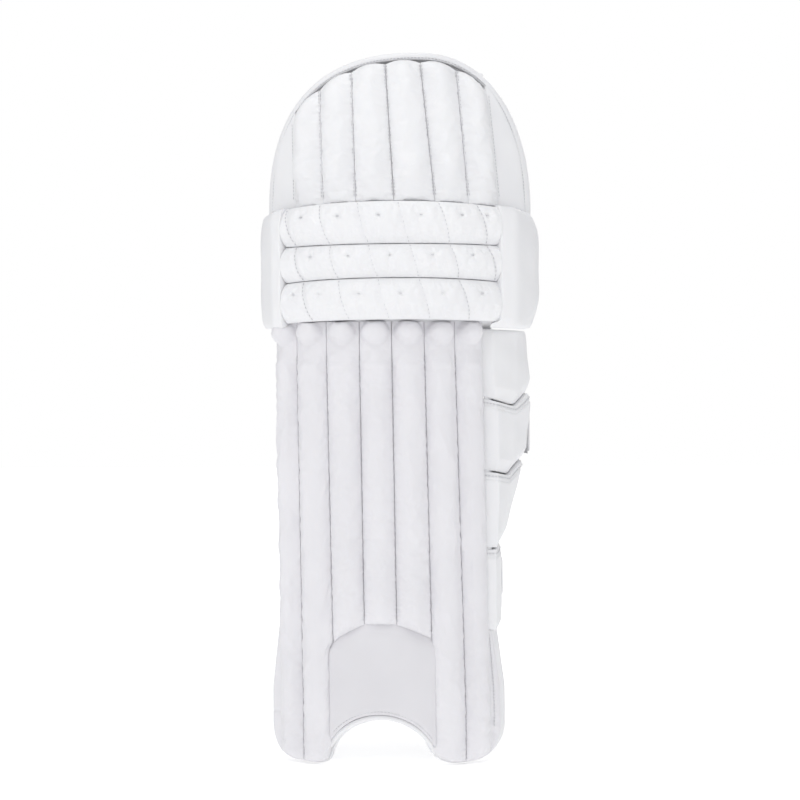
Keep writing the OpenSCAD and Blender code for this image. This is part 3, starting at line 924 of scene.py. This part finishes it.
def hat_foot(a):
    """Height of the top hat's lower edge, which dips at the sides."""
    droop = np.minimum(4.6 * (np.abs(a + 1.8) / 38) ** 2.2, 4.4)
    return 555.3 - droop - 0.35 * np.maximum(a - 44, 0)


def hat_rolls():
    """Six rolls that end at the arch, pinched where they meet the knee."""
    for i in range(6):
        def place(u, v, h, i=i):
            z0 = hat_foot(hat_seam(i, 557) + u * 13.5)
            est = hat_seam(i, 665) + u * (hat_seam(i + 1, 665) - hat_seam(i, 665))
            zt = hat_top(HAT[0] + 152 * np.sin(np.radians(est)), 9.0)
            crest = 1 - np.abs(2 * u - 1) ** 2.0
            zt = zt - 2.0 + 3.2 * crest
            z = z0 + v * (zt - z0)
            a0, a1 = hat_seam(i, z), hat_seam(i + 1, z)
            a = a0 + u * (a1 - a0)
            face = np.clip(h, 0, 1)
            bulge = 1 + 0.34 * bell(z - 590, 10) - 0.62 * np.clip((580 - z) / 14, 0, 1)
            end = 1 - np.exp(-(zt - z) / 7.0)
            r = HAT_SEAT + face * (0.8 + 10.6 * crest * end * bulge - 0.6 * np.clip((570 - z) / 12, 0, 1))
            r = np.where(h > 0, r, HAT_SEAT + 9.0 * h) + pucker(z, u, 40 + i, 8.0, 0.5) * (h > 0)
            return arc(HAT, a, r, z)
        ob = pillow(f"hat_roll_{i + 1}_leather", place, 27, 70, 4.5, 12, "white")
        rad = distance(places(ob), HAT)
        swell(ob, np.clip((157.5 - rad) / 3.5, 0, 1), 2.0, 1.0)
        finer(ob)
        done(ob, "top_hat", "white_leather", f"hat_roll_{i + 1}", pad=0.9)
    for i in range(7):
        z = np.linspace(562, 700, 70)
        a = hat_seam(i, z)
        x = HAT[0] + 152 * np.sin(np.radians(a))
        ok = z < hat_top(x, 12)
        for da in {0: (-0.5,), 6: (0.5,)}.get(i, (-0.42, 0.42)):
            stitch("hat", arc(HAT, a + da, 155.2, z)[ok], outward(a)[ok], lift=0.15)
    sew("hat", "top_hat")


def hat_panel(side):
    """The flat leather outside the rolls on a side, -1 or 1."""
    top = 652 if side < 0 else 682

    def place(u, v, h):
        z = 550 + v * (top - 550)
        e = hat_side(z, side, 6.0)
        s = hat_seam(0 if side < 0 else 6, z) + side * 0.35
        a = s + u * (e - s)
        low = hat_foot(a)
        z = low + v * (top - low)
        r = 147.0 + 4.4 * h + 0.5 * np.sin(z / 11 + u * 3) * (h > 0)
        return arc(HAT, a, r, z)
    name = "left" if side < 0 else "right"
    ob = pillow(f"hat_side_panel_{name}_leather", place, 40, 60, 6, 14, "white", 0.6)
    done(ob, "top_hat", "white_leather", f"hat_side_panel_{name}", pad=0.5)


def hat_edge():
    """The top hat's outline from its right foot, over the top, to its left."""
    t = np.radians(np.linspace(0, 180, 500))
    w, n = [np.where(t < pi / 2, r, l) for r, l in zip(HAT_RIGHT, HAT_LEFT)]
    c = np.cos(t)
    x = HAT_X + np.sign(c) * w * np.abs(c) ** (2 / n)
    z = HAT_Z + HAT_RISE * np.sin(t) ** (2 / n)
    foot = HAT_Z - 3
    arch = np.column_stack([x, z])
    return resample(np.vstack([[HAT_X + HAT_RIGHT[0], foot], arch, [HAT_X - HAT_LEFT[0], foot]]), 2.0)


def hat_lining():
    def place(u, v, h):
        z0 = 557.4
        a = -64.5 + u * 126
        x = HAT[0] + 146 * np.sin(np.radians(a))
        z = z0 + v * (hat_top(x, 6.5) - z0)
        quilt = 1.4 * np.abs(np.sin(pi * (z - 557) / 47)) ** 0.6
        return arc(HAT, a, 133.2 - 3 * h - np.where(h > 0, quilt * h, 0), z)
    ob = pillow("hat_lining_cloth", place, 90, 70, 24, 20, "lining", 0.3)
    done(ob, "top_hat", "lining_cloth", "hat_lining", pad=0.4)


# ---- outer wing -----------------------------------------------------------
# the wing's inner line in plan, where it flares out and where it lies close, and
# how far it flares at a height
WIDE_IN = np.array([(101, -70), (107, -66), (120, -46), (131, -26), (118, 34)], float)
SLIM_IN = np.array([(99, -70), (105, -65), (105, -54), (103.5, -30), (95, 34)], float)
FLARE_Z, FLARE_U = (210.6, 287.4, 302.6, 354.4), (0, 0.68, 0.82, 1)


def wing_inside(z, u, first=0):
    """The wing's inner line, from its point number first to its back edge."""
    f = np.interp(z, FLARE_Z, FLARE_U)[:, None]
    return along(WIDE_IN[first:], u) * f + along(SLIM_IN[first:], u) * (1 - f)


def wing_face(z, u):
    """Outer plan of the wing: a facet that faces forward, a ridge, then the side."""
    ridge = np.interp(z, (205, 215, 285, 350, 395), (112, 114, 115.5, 114.5, 109.5))
    start = np.interp(z, (150, 420), (102.5, 97.5))
    f = np.interp(z, FLARE_Z, FLARE_U)
    lean = 5.0 * np.clip((z - 375) / 55, 0, 1)
    x = [start, ridge, 114 + 19 * f, 115.5 + 30.5 * f - lean, 107.5 + 26.5 * f - lean]
    y = [-82 + 0 * z, -80 + 2 * (1 - f), -62 + 9 * f, -32 + 2 * f, 35 + 0 * z]
    corners = np.array([x, y])
    n = np.arange(len(z))
    out = 0
    for w, d in ((0.6, 0.0), (0.2, 0.025), (0.2, -0.025)):
        uu = np.clip(u + d, 0, 1)
        k = np.minimum((uu * 4).astype(int), 3)
        t = uu * 4 - k
        out = out + w * (corners[:, k, n] * (1 - t) + corners[:, k + 1, n] * t).T
    return out


# each block's lower and upper edge, as heights from its front to its back, and
# how deep and how tall the bevel along its lower edge is
WING_BLOCKS = (
    ([363.5, 360.5, 354.5, 367.5, 369], [431, 430.4, 429.6, 429, 428], 5.0, 14.0),
    ([290.5, 289, 285.5, 299, 301], [362, 359, 353, 366, 367.5], 6.0, 13.0),
    ([213, 213, 213.5, 216, 216], [289, 287.5, 284, 297.5, 299.5], 2.5, 14.0),
    ([132, 129.5, 129.5, 130, 134], [211, 211, 211.5, 213.5, 213], 4.0, 7.0),
)


def wing_blocks():
    """Four blocks, from the highest down. All but the highest have a lip and a
    groove along the top."""
    for i, (lo, hi, deep, tall) in enumerate(WING_BLOCKS):
        def relief(u, v, z, i=i, lo=lo, hi=hi, deep=deep, tall=tall):
            zl, zh = height(lo, u), height(hi, u)
            lip = np.clip((z - (zh - 6.0)) / 1.0, 0, 1) if i else 0 * z
            groove = -1.3 * bell(z - (zh - 7.2), 0.9) if i else 0 * z
            bevel = -deep * np.clip(1 - (z - zl) / tall, 0, 1) ** 1.2 * (0.35 + 0.65 * np.clip(u * 4, 0, 1))
            return -1.0 * lip + groove + bevel + 0.25 * np.sin(z / 6 + u * 9)
        block(f"wing_block_{i + 1}", lambda u, v, z: wing_face(z, u), lambda u, z: wing_inside(z, u),
              relief, lo, hi, 24, 9, "outer_wing", 100, 64)
        if i:
            u = np.linspace(0.03, 0.97, 90)
            z = height(hi, u) - 3.6
            f, b = wing_face(z, u), wing_inside(z, u)
            n = (f - b) / np.linalg.norm(f - b, axis=1)[:, None]
            f = f - n * 0.9
            stitch("wing", np.column_stack([f, z]), np.column_stack([n, 0 * z]), lift=0.1)
    sew("wing", "outer_wing")


def wing_lining():
    """Cloth and backing inside the wing's blocks, quilted in rows."""
    low, tall, row = 133, 291, 58.2
    share, in_x, in_y = [0, 0.4, 0.7, 1], [0.8, 0.85, 0.97, 1.0], [0.6, 0.5, 0.1, -0.1]

    def place(u, v, h):
        z = low + v * tall
        i = wing_inside(z, u, 1)
        f = np.clip((z - FLARE_Z[0]) / 76.8, 0, 1)
        n = np.stack([-np.interp(u, share, in_x) * f - (1 - f), np.interp(u, share, in_y) * f], -1)
        quilt = 1.2 * np.abs(np.sin(pi * (z - low) / row)) ** 0.6
        d = 4.7 + 4.0 * h + np.where(h > 0, quilt * h, 0) * 0.6
        d = d - 3.5 * np.clip(1 - u / 0.18, 0, 1) * (h > 0) * h
        return np.column_stack([i + n * d[:, None], z])
    ob = pillow("wing_lining_cloth", place, 60, 120, 14, 24, "lining", 0.4)
    done(ob, "outer_wing", "lining_cloth", "wing_lining", "wing_backing", pad=0.4)


def inner_wing():
    """The fixed wing on the left. It stands out further above than below."""
    high_out = [(-107, -75), (-111, -46), (-114, -14), (-114, 11)]
    low_out = [(-105.5, -74.5), (-106, -46), (-110, -14), (-112, 11)]
    high_in = [(-98.2, -62), (-101, -44), (-104, -14), (-102, 11)]
    low_in = [(-98, -62), (-98.8, -44), (-100, -14), (-102, 11)]
    low, tall, row = 134.5, 291, 97

    def place(u, v, h):
        z = low + v * tall
        f = np.clip((z - 285) / 30, 0, 1)[:, None]
        o = along(high_out, u) * f + along(low_out, u) * (1 - f)
        i = along(high_in, u) * f + along(low_in, u) * (1 - f)
        w = (0.5 + 0.5 * h)[:, None]
        tuck = -1.5 * bell(((z - low) / row % 1 - 0.5) * row - row / 2, 3) * np.clip(h, 0, 1)
        p = i + (o - i) * w
        p[:, 0] -= tuck
        return np.column_stack([p, z])
    ob = pillow("inner_wing_leather", place, 50, 130, 9, 26, "shin", 0.5)
    done(ob, "shin", "white_leather", "inner_wing", pad=0.7)


# ---- straps ---------------------------------------------------------------
NAME = ("ankle", "calf", "knee")
# in plan, each strap's sewn root, and the place on the pad's side and the turn
# of the face that its tab lies on
ROOT = ((-107, 17), (-108, 17), (-113, 14))
FACE = ((107.5, 35, 6.8), (134, 35, 10.5), (139, 30, 14.0))
# the heights of the straps' middles
STRAP_Z = (177.0, 325.0, 489.0)
STRAP_WIDE = 38
# how far the straps' arcs stand out behind the leg
SAG = 34


def local(k, x, y):
    """A place in plan: x out from face k and y along it, towards the back."""
    fx, fy, t = FACE[k]
    t = radians(t)
    return np.stack([fx + x * np.cos(t) - y * np.sin(t), fy + x * np.sin(t) + y * np.cos(t)], -1)


def out_of_face(k, n):
    """The direction out of face k, n times."""
    d = local(k, np.array(1.0), np.array(0.0)) - local(k, np.array(0.0), np.array(0.0))
    return np.tile([d[0], d[1], 0.0], (n, 1))


def face_path(k, out, ys):
    """Places at strap k's height, out from its face and at ys along it."""
    return np.column_stack([local(k, out + 0 * ys, ys), STRAP_Z[k] + 0 * ys])


def strap(k):
    """Webbing in an arc from the sewn root to the tab."""
    root, tip = np.array(ROOT[k], float), local(k, np.array(3.6), np.array(3.0))
    d = tip - root
    half, tilt = np.linalg.norm(d) / 2, atan2(d[1], d[0])
    rad = (half * half + SAG ** 2) / (2 * SAG)
    ang = asin(half / rad)
    trim = 1.9 / rad
    t = np.linspace(-ang + trim, ang - trim, 90)
    x, y = half + rad * np.sin(t), SAG - rad + rad * np.cos(t)
    px = root[0] + x * cos(tilt) - y * sin(tilt)
    py = root[1] + x * sin(tilt) + y * cos(tilt)
    p = np.stack([px, py, STRAP_Z[k] + 0 * px], -1)
    ux = np.sin(t) * cos(tilt) - np.cos(t) * sin(tilt)
    uy = np.sin(t) * sin(tilt) + np.cos(t) * cos(tilt)
    up = np.stack([ux, uy, 0 * t], -1)
    body = NAME[k] + "_strap_band"
    ob = band(f"{NAME[k]}_strap_web", p, up, STRAP_WIDE, 2.4, "strap", 7, 36)
    done(ob, body, "strap_cloth", NAME[k] + "_strap")
    for s in (-1, 1):
        q = p.copy()
        q[:, 2] += s * 15.5
        stitch(NAME[k] + "strap", q, up, lift=1.2)
    sew(NAME[k] + "strap", body)


def grip_tab(k):
    """The tab at a strap's end: leather, hook tape and a box of stitches."""
    body = NAME[k] + "_grip_tab"
    ys = np.r_[np.linspace(3.6, -27, 30), -29.0, -30.4, -31.0]
    up = out_of_face(k, len(ys))
    ob = band(f"{NAME[k]}_tab_leather", face_path(k, 3.3, ys), up, STRAP_WIDE, 1.9, "binding", 7, 36)
    done(ob, body, "strap_cloth", NAME[k] + "_tab")
    hook = band(f"{NAME[k]}_tab_hook", face_path(k, 2.0, ys)[4:-3], up[4:-3], 32, 0.7, "hook", 7, 24)
    done(hook, body, "strap_cloth")
    box = np.array([(-0.5, 16), (-0.5, -16), (-26.5, -16), (-26.5, 16), (-0.5, 16)])
    q = face_path(k, 3.3, box[:, 0])
    q[:, 2] += box[:, 1]
    q = resample(q, 1.0)
    stitch(NAME[k] + "tab", q, out_of_face(k, len(q)), lift=1.05)
    sew(NAME[k] + "tab", body)


def strap_ends(k):
    """The loop pile on the pad's side and the strap's sewn root."""
    on_knee = k == 2
    ob = band(f"{NAME[k]}_loop_pile", face_path(k, 0.75, np.linspace(-5, -37.5, 24)), out_of_face(k, 24),
              43, 1.0, "loop", 7, 30)
    done(ob, "knee" if on_knee else "outer_wing", "loop_pile", NAME[k] + "_loop_patch")
    ys = np.linspace(7.0 if on_knee else 10.0, ROOT[k][1] - 1.8, 12)
    p = np.column_stack([np.full(12, float(ROOT[k][0])), ys, np.full(12, STRAP_Z[k])])
    ob = band(f"{NAME[k]}_anchor_leather", p, np.tile([1.0, 0, 0], (12, 1)), 44, 9.0, "binding", 5, 30)
    done(ob, "knee" if on_knee else "shin", "white_leather", NAME[k] + "_anchor")


# ---- folds between the sections -------------------------------------------
def gusset(name, rows, cells, thick):
    """A sheet of leather over rows of points, thickened to thick metres."""
    ob = mesh(name, put(np.array(rows).reshape(-1, 3)), cells, "white")
    m = ob.modifiers.new("thick", "SOLIDIFY")
    m.thickness, m.offset = thick, 0.0
    apply(ob, m)
    return ob


def fold(name, c0, r0, c1, r1, z0, z1, a0, a1):
    """A leather gusset across a soft fold, from the section below to the one above. It
    runs from radius r0 about c0 to r1 about c1, between angles a0 and a1."""
    heights = np.linspace(z0, z1, 12)
    aa = np.linspace(a0, a1, 100)
    rows = []
    for z in heights:
        q = (z - z0) / (z1 - z0)
        bulge = -1.5 * sin(pi * q)
        lo, hi = arc(c0, aa, r0 + bulge, z), arc(c1, aa, r1 + bulge, z)
        rows.append(lo + (hi - lo) * q)
    ob = gusset(name, rows, quads(np.arange(1200).reshape(12, 100).T), 0.0018)
    put([0, -60, z0])
    put([0, -60, z1])
    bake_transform(ob)


def wing_fold_strip():
    """The leather that joins the last shin roll to the folding wing."""
    z = np.linspace(137, 425, 60)
    rows = []
    for q in np.linspace(0, 1, 9):
        x, y = 100.5 + 6.0 * q, -77.0 + 6.0 * q - 1.5 * sin(pi * q)
        rows.append(np.stack([x + 0 * z, y + 0 * z, z], -1))
    ob = gusset("wing_fold_leather", rows, quads(np.arange(540).reshape(9, 60)), 0.0016)
    put([100.5, -76, 280])
    put([106.5, -71, 280])
    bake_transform(ob)


# ---- build ----------------------------------------------------------------
bpy.context.scene.view_settings.view_transform = "Standard"
camera()
world()
floor = mesh("floor", [(-6, -6, 0), (6, -6, 0), (6, 6, 0), (-6, 6, 0)], [(0, 1, 2, 3)], "core")
floor.data.materials.clear()
floor.data.materials.append(floor_paint())
floor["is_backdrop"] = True
light("key", (-0.3, -1.9, 2.3), (0, -0.05, 0.4), 1.6, 14.2)
light("top", (0.0, -0.5, 2.6), (0, 0, 0.3), 1.6, 10.0)
light("front", (0.2, -3.0, 0.7), (0, 0, 0.35), 1.8, 6)
light("left", (-2.2, -0.9, 0.9), (0, 0, 0.4), 1.4, 5.5)
light("right", (2.2, -0.9, 0.9), (0, 0, 0.4), 1.4, 4)
light("back", (0.4, 2.4, 1.6), (0, 0, 0.35), 1.8, 14)

shin_rolls()
instep()
sew("shin", "shin")
bound_edge("foot_binding", "bottom_binding", "shin", "binding", SHIN, 122, 140, 64, foot_edge(), 7.2)
flap(-1)
flap(1)
shin_lining()
for side, name in ((-1, "left"), (1, "right")):
    cushion(f"shin_bolster_{name}_cloth", f"shin_bolster_{name}", side, 60, 150, 400, SHIN, 123, "shin", 4)
inner_wing()
knee_bars()
knee_blocks()
knee_lining()
for side, name in ((-1, "left"), (1, "right")):
    cushion(f"knee_cushion_{name}_cloth", f"knee_cushion_{name}", side, 63, 450, 542, KNEE, 121, "knee", 2)
hat_rolls()
hat_panel(-1)
hat_panel(1)
bound_edge("hat_binding_leather", "hat_binding", "top_hat", "hatbind", HAT, 129, 150, 67, hat_edge(), 7.6)
hat_lining()
wing_blocks()
wing_lining()
for k in range(3):
    strap(k)
    grip_tab(k)
    strap_ends(k)
fold("knee_fold_leather", SHIN, 137, KNEE, 149, 431, 441, -43, 50)
fold("hat_fold_leather", KNEE, 143, HAT, 140, 548, 560, -52, 50)
wing_fold_strip()

# the hidden pieces that keep their shape from the frame
KEPT = {"shin_canes": "cane", "hat_canes": "cane", "shin_back_board": "board", "hat_back_board": "board",
        "knee_back_board": "board", "knee_foam": "core"}
for node, mat in KEPT.items():
    for s in frame["nodes"][node].material_slots:
        s.material = MAT[mat]

as_list = lambda b: [[round(float(c), 5) for c in p] for p in b]
{"cad": as_list(CAD_BOX), "visual": as_list(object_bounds())}
